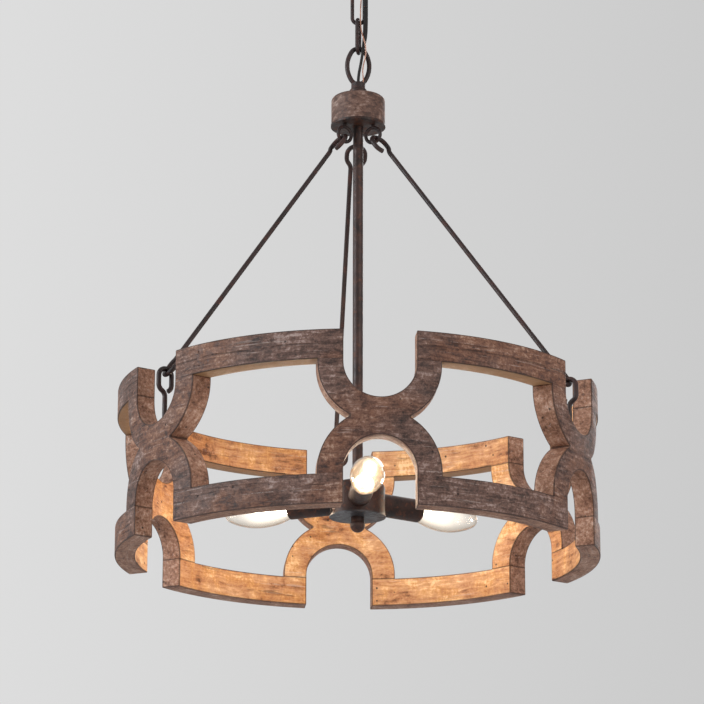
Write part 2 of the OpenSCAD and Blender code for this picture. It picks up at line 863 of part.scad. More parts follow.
module ground_wire() {
    color(copper_tone) lead(ground_route, [for (point = ground_route) 0], ground_d, ground_d);
}

mounting_strap();
canopy_nipple();
strap_nut();
canopy_shell();
canopy_collar();
canopy_loop();
chain_link(1);  // chain_link_1
chain_link(2);  // chain_link_2
chain_link(3);  // chain_link_3
hang_loop();
cap_collar();
wood_cap();
cap_plate();
cap_eyes();
cap_nut();
stem_tube();
hub_cup();
hub_nut();
hub_cover();
finial();
socket_nuts();
socket_cover(1);  // socket_cover_1
socket_cover(2);  // socket_cover_2
socket_cover(3);  // socket_cover_3
lampholder(1);  // lampholder_1
lampholder(2);  // lampholder_2
lampholder(3);  // lampholder_3
bulb_cap(1);  // bulb_cap_1
bulb_cap(2);  // bulb_cap_2
bulb_cap(3);  // bulb_cap_3
bulb_glass(1);  // bulb_glass_1
bulb_glass(2);  // bulb_glass_2
bulb_glass(3);  // bulb_glass_3
bulb_filament(1);  // bulb_filament_1
bulb_filament(2);  // bulb_filament_2
bulb_filament(3);  // bulb_filament_3
rod(0);  // rod_right
rod(1);  // rod_back
rod(2);  // rod_left
ring_hooks();
cross(1);  // cross_1
cross(2);  // cross_2
cross(3);  // cross_3
cross(4);  // cross_4
cross(5);  // cross_5
cross(6);  // cross_6
top_rail(1);  // top_rail_1
top_rail(2);  // top_rail_2
top_rail(3);  // top_rail_3
top_rail(4);  // top_rail_4
top_rail(5);  // top_rail_5
top_rail(6);  // top_rail_6
bottom_rail(1);  // bottom_rail_1
bottom_rail(2);  // bottom_rail_2
bottom_rail(3);  // bottom_rail_3
bottom_rail(4);  // bottom_rail_4
bottom_rail(5);  // bottom_rail_5
bottom_rail(6);  // bottom_rail_6
power_cord();
ground_wire();
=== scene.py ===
import math

import bmesh
import bpy
from mathutils import Matrix, Vector


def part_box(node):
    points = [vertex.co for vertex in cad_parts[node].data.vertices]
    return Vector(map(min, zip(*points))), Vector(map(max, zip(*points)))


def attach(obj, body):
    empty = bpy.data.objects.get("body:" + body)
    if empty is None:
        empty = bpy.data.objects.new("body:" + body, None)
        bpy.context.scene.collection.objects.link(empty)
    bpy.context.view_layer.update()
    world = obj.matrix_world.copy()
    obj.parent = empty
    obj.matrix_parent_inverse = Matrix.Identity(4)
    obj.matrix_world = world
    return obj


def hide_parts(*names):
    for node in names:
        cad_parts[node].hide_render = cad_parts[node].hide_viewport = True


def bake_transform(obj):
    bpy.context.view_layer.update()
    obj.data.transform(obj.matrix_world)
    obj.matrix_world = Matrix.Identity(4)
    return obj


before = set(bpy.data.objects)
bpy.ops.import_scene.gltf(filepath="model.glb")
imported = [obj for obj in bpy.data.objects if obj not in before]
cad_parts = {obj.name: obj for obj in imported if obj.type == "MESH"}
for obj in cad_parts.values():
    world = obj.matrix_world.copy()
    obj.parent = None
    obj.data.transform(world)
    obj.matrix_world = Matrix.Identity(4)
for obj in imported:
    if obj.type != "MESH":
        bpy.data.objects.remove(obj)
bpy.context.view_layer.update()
scene = bpy.context.scene
MM = 0.001

# Camera

CAMERA_AT = Vector((-0.3004, -3.3669, -1.5022))
YAW, PITCH, ROLL = math.radians(4.995), math.radians(16.21), math.radians(0.116)
forward = Vector((math.sin(YAW) * math.cos(PITCH), math.cos(YAW) * math.cos(PITCH), math.sin(PITCH)))
right = forward.cross(Vector((0, 0, 1))).normalized()
up = right.cross(forward)
camera_data = bpy.data.cameras.new("camera")
camera_data.sensor_width = 36
camera_data.lens = 171.54
camera_data.clip_end = 50
camera = bpy.data.objects.new("camera", camera_data)
scene.collection.objects.link(camera)
axes = Matrix((right, up, -forward)).transposed() @ Matrix.Rotation(ROLL, 3, "Z")
camera.matrix_world = Matrix.Translation(CAMERA_AT) @ axes.to_4x4()
scene.camera = camera


# Shader helpers

def srgb(r, g, b):
    """Linear light from a colour written as 0 to 255."""
    linear = (((c / 255 + 0.055) / 1.055) ** 2.4 if c > 10 else c / 255 / 12.92 for c in (r, g, b))
    return tuple(linear) + (1,)


def add(tree, kind, inputs=None, **settings):
    node = tree.nodes.new(kind)
    for key, value in settings.items():
        setattr(node, key, value)
    for key, value in (inputs or {}).items():
        if isinstance(value, bpy.types.NodeSocket):
            tree.links.new(value, node.inputs[key])
        else:
            node.inputs[key].default_value = value
    return node


def math_node(tree, operation, a, b=0.0, clamp=False):
    return add(tree, "ShaderNodeMath", {0: a, 1: b}, operation=operation, use_clamp=clamp).outputs[0]


def noise(tree, vector, scale, detail=4.0, roughness=0.55, distortion=0.0):
    return add(tree, "ShaderNodeTexNoise", {
        "Vector": vector, "Scale": scale, "Detail": detail, "Roughness": roughness,
        "Distortion": distortion}).outputs["Fac"]


def ramp(tree, factor, stops):
    node = add(tree, "ShaderNodeValToRGB", {"Fac": factor})
    band = node.color_ramp
    while len(band.elements) < len(stops):
        band.elements.new(0.5)
    for element, (place, color) in zip(band.elements, stops):
        element.position = place
        element.color = color if len(color) == 4 else (*color, 1)
    return node.outputs["Color"]


def grey(value):
    return (value, value, value, 1)


def mix(tree, factor, a, b):
    return add(tree, "ShaderNodeMix", {0: factor, 6: a, 7: b}, data_type="RGBA").outputs[2]


def step(tree, value, low, high):
    """0 at low, 1 at high, and straight between them."""
    return add(tree, "ShaderNodeMapRange", {0: value, 1: low, 2: high, 3: 0.0, 4: 1.0}, clamp=True).outputs[0]


def material(name):
    made = bpy.data.materials.new(name)
    made.use_nodes = True
    made.node_tree.nodes.clear()
    return made, made.node_tree


def surface(tree, shader):
    add(tree, "ShaderNodeOutputMaterial", {"Surface": shader})


def bumped(tree, height, strength, distance):
    return add(
        tree, "ShaderNodeBump", {"Height": height, "Strength": strength, "Distance": distance}
    ).outputs["Normal"]


# Wood: greyed brown outside, honey coloured inside, with dark worn edges. The undersides of the top rails are
# painted light: they take the inside's honey colour and a pale warm colour for the bulbs' light falling on
# them.
# The UV map "grain" holds the distance along the rim and the height, in metres. The distance is shifted
# for each piece.

OUTSIDE, INSIDE = (0.55, 0.8), (-0.55, -0.8)  # how far a face looks away from the ring's axis
WANDERING_LINE_AT, WANDER = 0.0725, 0.012     # height over the ring's middle, and how far the line strays
DARK_WOOD, EDGE_WOOD, SCRATCH = (38, 23, 18), (46, 30, 25), (186, 170, 162)
# painted light: a pale warm colour for the bulbs' light on the undersides of the top rails
PAINTED_BULB_LIGHT_UNDERSIDE = (255, 196, 140)
GREY_BROWN = ((0.41, (34, 21, 18)), (0.465, (76, 53, 45)), (0.53, (115, 86, 75)), (0.59, (164, 141, 133)))
RED_BROWN = ((0.41, (40, 22, 16)), (0.465, (90, 56, 42)), (0.53, (128, 88, 68)), (0.59, (170, 138, 118)))
HONEY = ((0.415, (96, 54, 30)), (0.465, (172, 118, 78)), (0.53, (204, 158, 118)), (0.585, (238, 208, 176)))
AMBER = ((0.415, (86, 46, 20)), (0.465, (162, 102, 52)), (0.53, (198, 144, 90)), (0.585, (230, 190, 146)))
CUT_WOOD = ((0.405, (78, 48, 34)), (0.465, (132, 91, 70)), (0.53, (168, 126, 103)), (0.6, (206, 174, 156)))
TURNED_WOOD = ((0.38, (42, 26, 20)), (0.46, (80, 53, 42)), (0.53, (112, 82, 69)), (0.62, (160, 136, 124)))


def tones(tree, factor, stops):
    """A ramp through colours written as 0 to 255."""
    return ramp(tree, factor, [(place, srgb(*color)) for place, color in stops])


def wood_material(name, along, across, edge=False):
    made, tree = material(name)
    coords = add(tree, "ShaderNodeTexCoord")
    grain_uv = add(tree, "ShaderNodeUVMap", uv_map="grain").outputs[0]
    grain_map = add(tree, "ShaderNodeSeparateXYZ", {0: grain_uv})
    place = add(tree, "ShaderNodeSeparateXYZ", {0: coords.outputs["Object"]})
    face = add(tree, "ShaderNodeSeparateXYZ", {0: coords.outputs["Normal"]})
    x, y, z = place.outputs[0], place.outputs[1], place.outputs[2]
    radius = math_node(tree, "SQRT", math_node(
        tree, "ADD", math_node(tree, "MULTIPLY", x, x), math_node(tree, "MULTIPLY", y, y)))
    facing = math_node(tree, "DIVIDE", math_node(
        tree, "ADD", math_node(tree, "MULTIPLY", face.outputs[0], x),
        math_node(tree, "MULTIPLY", face.outputs[1], y)), radius)
    outer = step(tree, facing, *OUTSIDE)
    inner = step(tree, facing, *INSIDE)
    height_up = math_node(tree, "SUBTRACT", z, RING_Z)
    # painted light: downward faces above the ring's middle (the top rails' undersides) take the inside's
    # honey colour for the bulbs' light on them
    painted_light_underside = math_node(
        tree, "MULTIPLY", step(tree, face.outputs[2], -0.5, -0.8), step(tree, height_up, 0.03, 0.05))
    inner = math_node(tree, "MAXIMUM", inner, painted_light_underside)
    base = add(tree, "ShaderNodeCombineXYZ", {
        0: grain_map.outputs[0], 1: grain_map.outputs[1], 2: radius}).outputs[0]

    def stretched(a, b, turn=0.0):
        return add(tree, "ShaderNodeMapping", {
            "Vector": base, "Rotation": (0.0, 0.0, turn), "Scale": (a, b, b)}).outputs[0]

    def weighted(*parts):
        total = None
        for value, weight in parts:
            part = math_node(tree, "MULTIPLY", value, weight)
            total = part if total is None else math_node(tree, "ADD", total, part)
        return total

    warp = noise(tree, base, 15.0, 3.0, 0.6)
    sideways = add(tree, "ShaderNodeCombineXYZ", {1: math_node(tree, "MULTIPLY", warp, 4.0)}).outputs[0]
    warped = add(tree, "ShaderNodeVectorMath", {0: stretched(along, across), 1: sideways},
                 operation="ADD").outputs[0]
    grain = noise(tree, warped, 1.0, 6.0, 0.65, 0.3)
    streaks = noise(tree, stretched(along * 0.2, across * 0.25), 1.0, 4.0, 0.55, 0.3)
    blotches = noise(tree, base, 42.0, 4.0, 0.62, 0.3)
    clouds = noise(tree, base, 13.0, 3.0, 0.55)
    net = noise(tree, base, 330.0, 4.0, 0.75, 0.6)
    dust = noise(tree, base, 130.0, 5.0, 0.7, 0.8)
    off_centre = add(tree, "ShaderNodeVectorMath", {
        0: base, 1: (0.13, 0.42, 0.0)}, operation="ADD").outputs[0]
    saw = add(tree, "ShaderNodeTexWave", {
        "Vector": off_centre, "Scale": 62.0, "Distortion": 9.0, "Detail": 3.0, "Detail Scale": 2.5},
        wave_type="RINGS", rings_direction="Z").outputs["Fac"]
    sawn = math_node(tree, "MULTIPLY", math_node(tree, "SUBTRACT", saw, 0.5), math_node(
        tree, "MULTIPLY", step(tree, blotches, 0.5, 0.62), 0.03))
    tone = math_node(tree, "ADD", sawn, weighted(
        (grain, 0.27), (streaks, 0.08), (blotches, 0.2), (net, 0.25), (dust, 0.2)))
    calm = math_node(tree, "ADD", sawn, weighted(
        (grain, 0.22), (streaks, 0.12), (blotches, 0.3), (clouds, 0.16), (net, 0.1), (dust, 0.1)))
    grey_brown = tones(tree, tone, GREY_BROWN)
    red_brown = tones(tree, tone, RED_BROWN)
    out_color = mix(tree, step(tree, clouds, 0.46, 0.6), grey_brown, red_brown)
    honey = tones(tree, calm, HONEY)
    amber = tones(tree, calm, AMBER)
    in_color = mix(tree, step(tree, blotches, 0.44, 0.6), honey, amber)
    cut_color = tones(tree, tone, CUT_WOOD)
    color = mix(tree, outer, cut_color, out_color)
    color = mix(tree, inner, color, in_color)
    # painted light: the pale warm colour of the bulbs' light laid over the top rails' undersides
    color = mix(tree, math_node(tree, "MULTIPLY", painted_light_underside, 0.7), color, srgb(*PAINTED_BULB_LIGHT_UNDERSIDE))
    scratch = noise(tree, stretched(12.0, 420.0, 0.6), 1.0, 3.0, 0.6, 0.5)
    scratches = math_node(tree, "MULTIPLY", step(tree, scratch, 0.60, 0.66), step(tree, dust, 0.44, 0.54))
    color = mix(tree, math_node(tree, "MULTIPLY", scratches, 0.4), color, srgb(*SCRATCH))
    holes = add(tree, "ShaderNodeTexVoronoi", {"Vector": base, "Scale": 95.0}, feature="F1")
    chosen = add(tree, "ShaderNodeSeparateColor", {0: holes.outputs["Color"]}).outputs[0]
    hole = math_node(
        tree, "MULTIPLY", step(tree, holes.outputs["Distance"], 0.14, 0.08), step(tree, chosen, 0.72, 0.74))
    checks = step(tree, noise(tree, stretched(along * 0.4, across * 0.6), 1.0, 3.0, 0.55, 1.2), 0.35, 0.3)
    seam_gap = math_node(
        tree, "ABSOLUTE", math_node(tree, "SUBTRACT", math_node(tree, "ABSOLUTE", height_up), SEAM))
    seam = math_node(tree, "MULTIPLY", step(tree, seam_gap, 0.0009, 0.0003), math_node(
        tree, "SUBTRACT", 0.75, math_node(tree, "MULTIPLY", outer, 0.5)))
    stray = math_node(tree, "SUBTRACT", noise(tree, stretched(9.0, 0.0), 1.0, 2.0), 0.5)
    line_height = math_node(tree, "ADD", WANDERING_LINE_AT, math_node(tree, "MULTIPLY", stray, WANDER))
    line_gap = math_node(tree, "ABSOLUTE", math_node(tree, "SUBTRACT", height_up, line_height))
    line = math_node(
        tree, "MULTIPLY", math_node(tree, "MULTIPLY", step(tree, line_gap, 0.0011, 0.0003), outer),
        step(tree, blotches, 0.4, 0.5))
    dark = math_node(tree, "MAXIMUM", math_node(tree, "MAXIMUM", hole, seam), math_node(
        tree, "MAXIMUM", math_node(tree, "MULTIPLY", checks, 0.5), math_node(tree, "MULTIPLY", line, 0.6)))
    color = mix(tree, math_node(tree, "MULTIPLY", dark, 0.85), color, srgb(*DARK_WOOD))
    if edge:
        color = mix(tree, 0.72, color, srgb(*EDGE_WOOD))
    height = math_node(
        tree, "SUBTRACT", weighted((grain, 0.6), (net, 0.5), (blotches, 0.8), (dust, 0.4)), dark)
    shader = add(tree, "ShaderNodeBsdfPrincipled", {
        "Base Color": color, "Roughness": ramp(tree, dust, [(0.35, grey(0.5)), (0.65, grey(0.8))]),
        "Normal": bumped(tree, height, 0.8, 0.0014)})
    shader.inputs["Specular IOR Level"].default_value = 0.4
    surface(tree, shader.outputs[0])
    return made


RING_Z = (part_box("top_rail_1")[1].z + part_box("bottom_rail_1")[0].z) / 2
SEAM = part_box("cross_1")[1].z - RING_Z
ARM = 0.061  # outer radius of a cross's arms
rail_wood = wood_material("wood_rail", 42.0, 300.0)
cross_wood = wood_material("wood_cross", 66.0, 260.0)
edge_wood = wood_material("wood_edge", 42.0, 300.0, edge=True)


def cap_material():
    made, tree = material("wood_cap_turned")
    coords = add(tree, "ShaderNodeTexCoord")
    stretched = add(tree, "ShaderNodeVectorMath", {
        0: coords.outputs["Object"], 1: (120.0, 120.0, 300.0)}, operation="MULTIPLY").outputs[0]
    grain = noise(tree, stretched, 1.0, 6.0, 0.62, 0.5)
    patches = noise(tree, coords.outputs["Object"], 75.0, 4.0, 0.6, 0.4)
    net = noise(tree, coords.outputs["Object"], 620.0, 4.0, 0.7)
    tone = math_node(tree, "ADD", math_node(tree, "MULTIPLY", grain, 0.42), math_node(
        tree, "ADD", math_node(tree, "MULTIPLY", patches, 0.38), math_node(tree, "MULTIPLY", net, 0.2)))
    color = tones(tree, tone, TURNED_WOOD)
    shader = add(tree, "ShaderNodeBsdfPrincipled", {
        "Base Color": color, "Roughness": ramp(tree, net, [(0.3, grey(0.55)), (0.7, grey(0.8))]),
        "Normal": bumped(tree, tone, 0.6, 0.0015)})
    surface(tree, shader.outputs[0])
    return made


# Metal

def metal_material(name, dark, mid, rust, metallic, rough, scale=140.0):
    """Metal of two mottled tones with spots of a third, such as rust."""
    dark, mid, rust = srgb(*dark), srgb(*mid), srgb(*rust)
    made, tree = material(name)
    coords = add(tree, "ShaderNodeTexCoord").outputs["Object"]
    broad = noise(tree, coords, scale * 0.35, 4.0, 0.6, 0.3)
    fine = noise(tree, coords, scale * 4, 5.0, 0.68)
    spots = noise(tree, coords, scale * 1.3, 4.0, 0.6, 0.4)
    color = ramp(tree, broad, [(0.38, dark), (0.6, mid)])
    color = mix(tree, math_node(tree, "MULTIPLY", step(tree, spots, 0.53, 0.68), 0.65), color, rust)
    shader = add(tree, "ShaderNodeBsdfPrincipled", {
        "Base Color": color,
        "Roughness": ramp(tree, spots, [(0.35, grey(rough - 0.1)), (0.68, grey(rough + 0.14))]),
        "Normal": bumped(tree, fine, 0.25, 0.0006)})
    shader.inputs["Metallic"].default_value = metallic
    surface(tree, shader.outputs[0])
    return made


wire_metal = metal_material("metal_dark_wire", (27, 12, 11), (44, 23, 20), (76, 42, 34), 0.12, 0.55, 60.0)
rust_metal = metal_material("metal_rust_bronze", (34, 22, 20), (62, 42, 37), (104, 66, 50), 0.35, 0.5)
hub_metal = metal_material("metal_hub_bronze", (26, 13, 10), (58, 32, 22), (104, 58, 36), 0.35, 0.5)
iron_metal = metal_material("metal_dark_plate", (44, 42, 44), (72, 70, 73), (64, 46, 40), 0.35, 0.45)
zinc_metal = metal_material("metal_zinc", (150, 150, 148), (182, 182, 180), (132, 130, 126), 0.9, 0.35)
shell_metal = metal_material("metal_screw_shell", (150, 138, 116), (188, 176, 152), (120, 104, 84), 0.9, 0.3)


def ceramic_material():
    made, tree = material("ceramic_holder")
    coords = add(tree, "ShaderNodeTexCoord").outputs["Object"]
    cloud = noise(tree, coords, 60.0, 3.0, 0.5)
    shader = add(tree, "ShaderNodeBsdfPrincipled", {
        "Base Color": ramp(tree, cloud, [(0.3, srgb(214, 208, 196)), (0.7, srgb(236, 231, 221))]),
        "Normal": bumped(tree, cloud, 0.05, 0.0005)})
    shader.inputs["Roughness"].default_value = 0.22
    surface(tree, shader.outputs[0])
    return made


# Bulbs: thin clear glass round a hot filament. Bulb 1 points at the camera, 2 and 3 to the back.
# Reach is the distance from the stem's axis along a bulb, in metres.

LIGHT_Z = (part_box("bulb_glass_1")[0].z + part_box("bulb_glass_1")[1].z) / 2
GLASS_START = -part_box("bulb_glass_1")[1].y / MM
GLASS_L, BELLY_AT, BELLY_R, NECK_AT, NECK_R, TIP_R, GLASS_WALL = 81.0, 39.0, 17.5, 2.0, 9.2, 10.0, 0.9
BASE_ROUNDING = 3.2
ARC_STEPS, AROUND = 12, 72
GLOW_STARTS, GLOW_FADES, TIP_SHINES = (0.068, 0.082), (0.136, 0.12), (0.136, 0.143)
GLOW_SPREAD, GLOW_RIM, GLOW_CORE = (0.85, 0.5, 0.5), (0.06, 0.035, 0.035), (0.5, 0.42, 0.42)
BULB_POWER, BULB_COLOR, BULB_LAMP_R, BULB_LAMP_AT = (0.34, 0.62, 0.75), (1.0, 0.83, 0.64), 0.012, 0.1


def glass_material(index, out):
    made, tree = material("glass_lit_%d" % index)
    coords = add(tree, "ShaderNodeTexCoord").outputs["Object"]
    reach = add(tree, "ShaderNodeVectorMath", {
        0: coords, 1: tuple(out)}, operation="DOT_PRODUCT").outputs["Value"]
    swirl = noise(tree, coords, 45.0, 3.0, 0.5)
    facing = add(tree, "ShaderNodeLayerWeight", {"Blend": 0.5}).outputs["Facing"]
    clear = add(tree, "ShaderNodeBsdfTransparent", {"Color": ramp(tree, facing, [
        (0.0, grey(1.0)), (0.6, srgb(250, 247, 243)), (0.85, srgb(232, 226, 220)),
        (1.0, srgb(150, 140, 132))])})
    gloss = add(tree, "ShaderNodeBsdfGlossy", {"Normal": bumped(tree, swirl, 0.05, 0.0005)})
    gloss.inputs["Roughness"].default_value = 0.03
    grazing = math_node(tree, "POWER", facing, 5.0)
    shine = math_node(tree, "ADD", 0.04, math_node(tree, "MULTIPLY", grazing, 0.7))
    glass = add(tree, "ShaderNodeMixShader", {0: shine, 1: clear.outputs[0], 2: gloss.outputs[0]})
    warmth = ramp(tree, facing, [(0.0, (1.0, 0.93, 0.78, 1)), (0.7, (1.0, 0.72, 0.44, 1))])
    lit = step(tree, reach, *GLOW_STARTS)
    if index != 1:
        tip = math_node(tree, "MULTIPLY", step(tree, reach, *TIP_SHINES), 0.1)
        lit = math_node(tree, "MULTIPLY", lit, math_node(
            tree, "MAXIMUM", step(tree, reach, *GLOW_FADES), math_node(tree, "ADD", 0.12, tip)))
    core = math_node(tree, "POWER", step(tree, facing, GLOW_SPREAD[index - 1], 0.0), 1.4)
    strength = math_node(tree, "MULTIPLY", lit, math_node(
        tree, "ADD", GLOW_RIM[index - 1], math_node(tree, "MULTIPLY", core, GLOW_CORE[index - 1])))
    glow = add(tree, "ShaderNodeEmission", {"Color": warmth, "Strength": strength})
    surface(tree, add(tree, "ShaderNodeAddShader", {0: glass.outputs[0], 1: glow.outputs[0]}).outputs[0])
    return made


def glass_outline(wall):
    """Radius and height, in millimetres, from the middle of the base round the belly to the tip."""
    tip_at = GLASS_L - TIP_R
    run, drop = BELLY_AT - NECK_AT, BELLY_R - NECK_R
    back_r = (run * run + drop * drop) / (2 * drop)
    back_turn = math.asin(run / back_r)
    run = tip_at - BELLY_AT
    side_r = (run * run + BELLY_R * BELLY_R - TIP_R * TIP_R) / (2 * (BELLY_R - TIP_R))
    side_turn = math.atan(run / (side_r - BELLY_R))
    points = [(0.0, wall), (NECK_R - BASE_ROUNDING - wall, wall)]
    for middle, at, r, start, end in (
            (BELLY_R - back_r, BELLY_AT, back_r, -back_turn, 0.0),
            (BELLY_R - side_r, BELLY_AT, side_r, 0.0, side_turn),
            (0.0, tip_at, TIP_R, side_turn, math.pi / 2)):
        for k in range(ARC_STEPS):
            turn = start + (end - start) * k / ARC_STEPS
            points.append((middle + (r - wall) * math.cos(turn), at + (r - wall) * math.sin(turn)))
    return points + [(0.0, GLASS_L - wall)]


def glass_piece(index):
    angle = math.radians(120 * (index - 1))
    out = Vector((math.sin(angle), -math.cos(angle), 0))
    side = Vector((math.cos(angle), math.sin(angle), 0))
    mesh = bmesh.new()
    for wall, inward in ((0.0, False), (GLASS_WALL, True)):
        rings = []
        for radius, height in glass_outline(wall):
            turns = [2 * math.pi * k / AROUND for k in range(AROUND)] if radius else [0.0]
            rings.append([mesh.verts.new(
                (out * (GLASS_START + height) + side * radius * math.cos(t)) * MM
                + Vector((0, 0, LIGHT_Z + radius * math.sin(t) * MM))) for t in turns])
        for low, high in zip(rings, rings[1:]):
            for k in range(AROUND):
                n = (k + 1) % AROUND
                corners = [low[k % len(low)], low[n % len(low)], high[n % len(high)], high[k % len(high)]]
                corners = list(dict.fromkeys(corners))
                mesh.faces.new(corners[::-1] if inward else corners).smooth = True
    data = bpy.data.meshes.new("bulb_glass_%d_clear" % index)
    mesh.to_mesh(data)
    mesh.free()
    data.materials.append(glass_material(index, out))
    piece = bpy.data.objects.new("bulb_glass_%d_clear" % index, data)
    scene.collection.objects.link(piece)
    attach(piece, "bulb_%d" % index)
    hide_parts("bulb_glass_%d" % index)
    lamp_data = bpy.data.lights.new("bulb_light_%d" % index, "POINT")
    lamp_data.energy = BULB_POWER[index - 1]
    lamp_data.color = BULB_COLOR
    lamp_data.shadow_soft_size = BULB_LAMP_R
    lamp = bpy.data.objects.new("bulb_light_%d" % index, lamp_data)
    lamp.location = out * BULB_LAMP_AT + Vector((0, 0, LIGHT_Z))
    scene.collection.objects.link(lamp)


def filament_material():
    made, tree = material("filament_hot")
    coords = add(tree, "ShaderNodeTexCoord").outputs["Object"]
    flicker = noise(tree, coords, 220.0, 3.0, 0.5)
    glow = add(tree, "ShaderNodeEmission", {
        "Color": ramp(tree, flicker, [(0.35, (1.0, 0.80, 0.52, 1)), (0.65, (1.0, 0.93, 0.80, 1))]),
        "Strength": 6.0})
    surface(tree, glow.outputs[0])
    return made


def plastic_material(name, dark, light, rough, scale):
    made, tree = material(name)
    coords = add(tree, "ShaderNodeTexCoord").outputs["Object"]
    grain = noise(tree, coords, scale, 4.0, 0.6)
    shader = add(tree, "ShaderNodeBsdfPrincipled", {
        "Base Color": ramp(tree, grain, [(0.35, dark), (0.65, light)]),
        "Normal": bumped(tree, grain, 0.15, 0.0003)})
    shader.inputs["Roughness"].default_value = rough
    surface(tree, shader.outputs[0])
    return made


# Leads: the routes of the CAD model, in millimetres, swept again with their real sections. Each is cut
# where it passes from one body to the next.

LOW_HOLE, HIGH_HOLE, HOLE_DEPTH = -218.8, -44.0, 4.0
CORD_ROUTE = [
    (0, 0, LOW_HOLE - HOLE_DEPTH), (0, 0, -218), (0.2, -0.8, -212.5), (0.8, -2, -207), (1.8, -3.2, -201.5),
    (2.8, -4.2, -195.5), (3.7, -4.9, -189.5), (4.6, -5.2, -182.5), (5.6, -5, -175.5), (6.6, -4.5, -168.5),
    (7.2, -4.1, -160.5), (7.4, -3.9, -151.5), (7.5, -3.9, -141.5), (7.5, -3.9, -131.5), (7.5, -3.9, -121.5),
    (7.4, -3.9, -112.5), (7.2, -4.1, -103.5), (6.6, -4.5, -95.5), (5.6, -5, -88.5), (4.6, -5.2, -81.5),
    (3.7, -4.9, -74.5), (2.8, -4.2, -68.5), (1.8, -3.2, -62.5), (0.8, -2, -56.5), (0.2, -0.8, -50.5),
    (0, 0, -44.5), (0, 0, HIGH_HOLE + HOLE_DEPTH)]
CORD_TURNS = [
    90, 90, 90, 90, 90, 90, 88, 80, 60, 35, 12, 0, 0, 0, 0, 0, 12, 35, 60, 80, 88, 90, 90, 90, 90, 90, 90]
GROUND_ROUTE = [
    (5, -3.6, LOW_HOLE), (5, -3.6, -214), (4.4, -4.6, -208), (4.8, -5.6, -202), (5.8, -6.8, -196.5),
    (7, -8.2, -190.5), (7.4, -9.2, -184.5), (6.8, -9.6, -178.5), (5.4, -9.2, -172.5), (3.9, -8, -166.5),
    (2.6, -6.4, -159.5), (2, -5, -151.5), (1.9, -4.6, -142.5), (2.1, -4.5, -133.5), (2.6, -4.5, -124.5),
    (3.2, -5, -115.5), (3.2, -5.9, -107.5), (3.5, -7.3, -99.5), (4.4, -8.6, -92.5), (5.6, -9.2, -85.5),
    (6.8, -9, -78.5), (6.8, -7.8, -71.5), (5.8, -6, -64.5), (5, -4.6, -57.5), (5, -3.6, -49.5),
    (5, -3.6, HIGH_HOLE)]
CUTS = [-100.5, -133.5, -167.5]
CORD_W, CORD_T, GROUND_D = 5.2, 3.0, 1.4
SPANS = [("canopy", "link_1"), ("link_1", "link_2"), ("link_2", "link_3"), ("link_3", "fixture")]


def smooth_route(route, turns, pieces=6):
    """Points on a smooth curve through the route, each with its turn."""
    points, angles = [], []
    for i in range(len(route) - 1):
        a, b = Vector(route[i]), Vector(route[i + 1])
        before = Vector(route[i - 1]) if i else a * 2 - b
        after = Vector(route[i + 2]) if i + 2 < len(route) else b * 2 - a
        for k in range(pieces):
            t = k / pieces
            points.append(0.5 * ((2 * a) + (b - before) * t + (2 * before - 5 * a + 4 * b - after) * t * t
                                 + (3 * a - before - 3 * b + after) * t ** 3))
            angles.append(turns[i] + (turns[i + 1] - turns[i]) * t)
    points.append(Vector(route[-1]))
    angles.append(turns[-1])
    return points, angles


def sweep(name, points, angles, section, made):
    mesh = bmesh.new()
    rings = []
    for i, point in enumerate(points):
        direction = (points[min(i + 1, len(points) - 1)] - points[max(i - 1, 0)]).normalized()
        turn = math.radians(angles[i])
        side = Vector((-math.sin(turn), math.cos(turn), 0)).cross(direction).normalized()
        other = direction.cross(side)
        rings.append([mesh.verts.new((point + side * u + other * v) * MM) for u, v in section])
    for low, high in zip(rings, rings[1:]):
        for k in range(len(section)):
            n = (k + 1) % len(section)
            mesh.faces.new((low[k], low[n], high[n], high[k])).smooth = True
    mesh.faces.new(list(reversed(rings[0])))
    mesh.faces.new(rings[-1])
    bmesh.ops.recalc_face_normals(mesh, faces=mesh.faces)
    data = bpy.data.meshes.new(name)
    mesh.to_mesh(data)
    mesh.free()
    data.materials.append(made)
    piece = bpy.data.objects.new(name, data)
    scene.collection.objects.link(piece)
    return piece


def lead(node, route, turns, section, made):
    points, angles = smooth_route(list(reversed(route)), list(reversed(turns)))
    cuts = [min(range(len(points)), key=lambda i: abs(points[i].z - cut)) for cut in CUTS]
    marks = [0] + cuts + [len(points) - 1]
    for k, (parent, child) in enumerate(SPANS):
        part = points[marks[k]:marks[k + 1] + 1]
        piece = sweep("%s_%d" % (node, k + 1), part, angles[marks[k]:marks[k + 1] + 1], section, made)
        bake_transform(piece)
        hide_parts(node)


def twin_section(width, thick):
    """Outline of a flat twin lead: two round wires with a shallow waist between them."""
    r, reach = thick / 2, (width - thick) / 2
    turns = [math.radians(d) for d in range(-100, 101, 20)]
    right_side = [(reach + r * math.cos(a), r * math.sin(a)) for a in turns]
    left_side = [(-x, -y) for x, y in right_side]
    return right_side + [(0, r * 0.8)] + left_side + [(0, -r * 0.8)]


def round_section(width):
    turns = [math.radians(d) for d in range(0, 360, 30)]
    return [(width / 2 * math.cos(a), width / 2 * math.sin(a)) for a in turns]


black_plastic = plastic_material("cord_black", srgb(12, 7, 6), srgb(24, 16, 14), 0.75, 500.0)
copper_plastic = plastic_material("lead_copper", srgb(150, 96, 74), srgb(196, 146, 120), 0.25, 300.0)
lead("power_cord", CORD_ROUTE, CORD_TURNS, twin_section(CORD_W, CORD_T), black_plastic)
lead("ground_wire", GROUND_ROUTE, [0] * len(GROUND_ROUTE), round_section(GROUND_D),
     copper_plastic)


# CAD nodes that keep their shape

def dress(made, *names):
    for name in names:
        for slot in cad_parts[name].material_slots:
            slot.material = made


